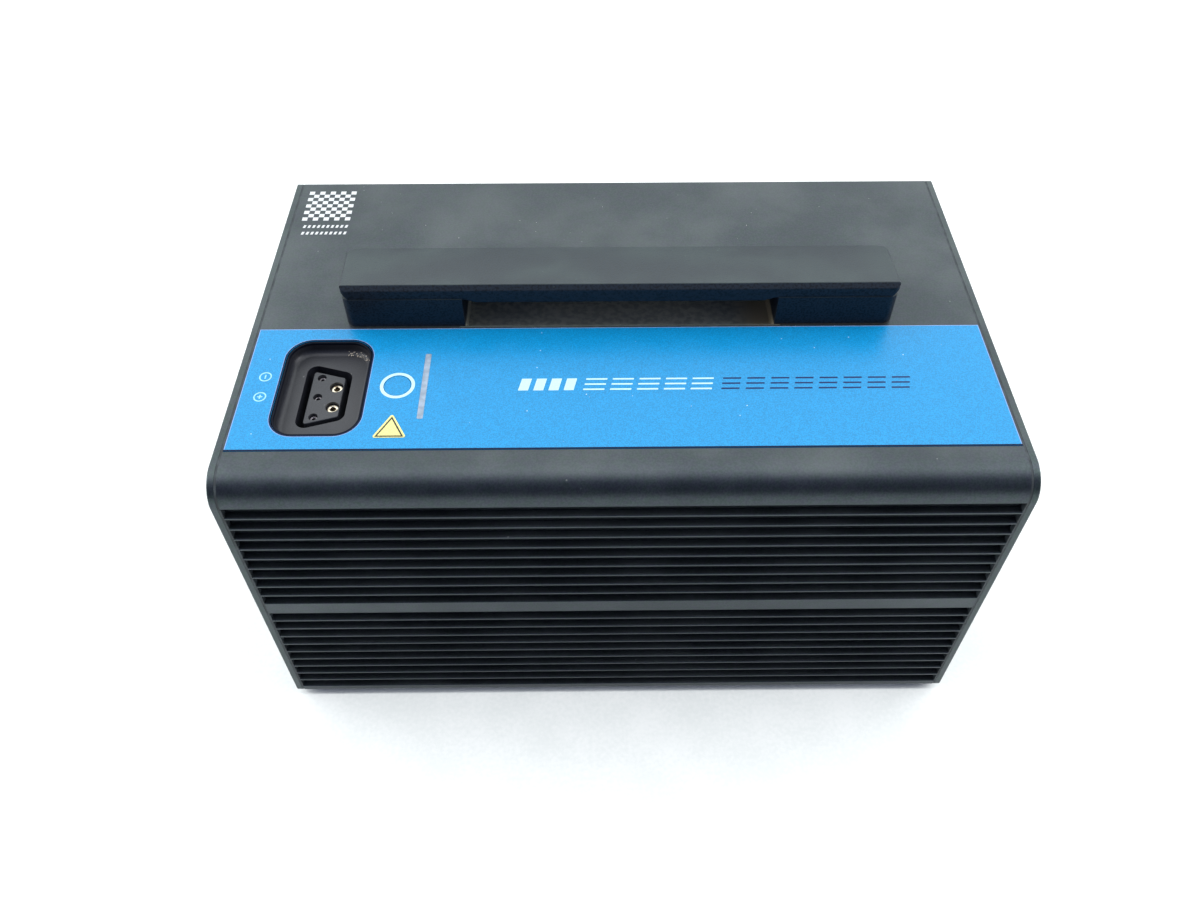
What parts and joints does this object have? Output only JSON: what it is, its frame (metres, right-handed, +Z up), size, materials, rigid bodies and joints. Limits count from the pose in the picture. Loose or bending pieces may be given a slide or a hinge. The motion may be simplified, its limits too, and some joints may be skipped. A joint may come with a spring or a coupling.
{
  "type": "portable battery pack",
  "caption": "Finned dark metal battery case with end plates, wedge-shaped carrying handle, blue label band, recessed power port, charge button and light bar.",
  "frame": {"origin": "centre of the footprint, on the surface the pack stands on", "axes": "+X along the case, away from the port end; +Y from the label side to the back; +Z up"},
  "size_m": [0.33, 0.2, 0.1969],
  "materials": {
    "anodised_case": "satin black anodised extrusion, dusty on top",
    "anodised_plate": "satin black anodised plate",
    "handle_plastic": "fine-grained dark moulding",
    "black_plastic": "fine-grained black moulding",
    "grey_insulator": "dark grey insulator",
    "black_rubber": "matt",
    "dark_steel": "black oxide",
    "blue_film": "printed film with a fine grain",
    "yellow_film": "pale yellow printed film",
    "gold_contact": "gold plated, worn",
    "silver_contact": "plated",
    "milky_lens": "milky, slightly lilac",
    "board_plastic": "moulded component bodies",
    "circuit_board": "green solder mask",
    "brass_insert": "turned",
    "cell_can": "sleeved cell",
    "white_plastic": "natural moulding",
    "nickel": "cold rolled strip",
    "insulating_paper": "fish paper",
    "grey_pad": "soft pad",
    "black_foam": "closed-cell foam",
    "copper": "tinned at the ends",
    "bare_aluminium": "extruded",
    "fuse_body": "ceramic tube",
    "red_sleeve": "silicone sleeve",
    "black_sleeve": "silicone sleeve"
  },
  "bodies": {
    "case": {"shell": "anodised_case", "end_plate_right": "anodised_plate", "end_plate_left": "anodised_plate", "end_gasket_right": "black_rubber", "end_gasket_left": "black_rubber", "end_screws_right": "dark_steel", "end_screws_left": "dark_steel", "vent_plug": "black_plastic", "top_label": "blue_film", "marker_sticker": "yellow_film", "port_housing": "black_plastic", "port_insert": "grey_insulator", "port_power_contacts": "gold_contact", "port_signal_contacts": "silver_contact", "port_seal": "black_rubber", "port_screws": "dark_steel", "button_guide": "black_rubber", "switch_body": "board_plastic", "light_bar_lens": "milky_lens", "status_lights": "milky_lens", "display_housing": "black_plastic", "display_board": "circuit_board", "display_screws": "dark_steel", "handle_base": "handle_plastic", "handle_cover": "handle_plastic", "handle_inserts": "brass_insert", "handle_screws": "dark_steel", "handle_brackets": "dark_steel", "handle_seal": "black_rubber", "cells_front": "cell_can", "cells_rear": "cell_can", "cell_holder_front_outer": "white_plastic", "cell_holder_front_inner": "white_plastic", "cell_holder_rear_outer": "white_plastic", "cell_holder_rear_inner": "white_plastic", "nickel_strips_front": "nickel", "nickel_strips_rear": "nickel", "insulation_sheets": "insulating_paper", "thermal_pads": "grey_pad", "foam_pads": "black_foam", "centre_spacer": "white_plastic", "positive_busbar": "copper", "negative_busbar": "copper", "bms_tray": "white_plastic", "bms_board": "circuit_board", "bms_screws": "dark_steel", "power_transistors": "board_plastic", "heat_sink": "bare_aluminium", "capacitors": "board_plastic", "board_connectors": "white_plastic", "power_terminals": "brass_insert", "fuse_holder": "black_plastic", "main_fuse": "fuse_body", "positive_leads": "red_sleeve", "negative_leads": "black_sleeve", "signal_harness": "red_sleeve", "balance_harness": "black_sleeve", "temperature_probes": "black_sleeve"},
    "button": {"charge_button": "blue_film", "switch_plunger": "board_plastic"}
  },
  "joints": [
    {"name": "button_press", "type": "slide", "parent": "case", "child": "button", "axis": [0, 0, -1], "range_m": [0, 0.0005], "stiffness_N_per_m": 2400, "springref_m": -0.0001}
  ]
}
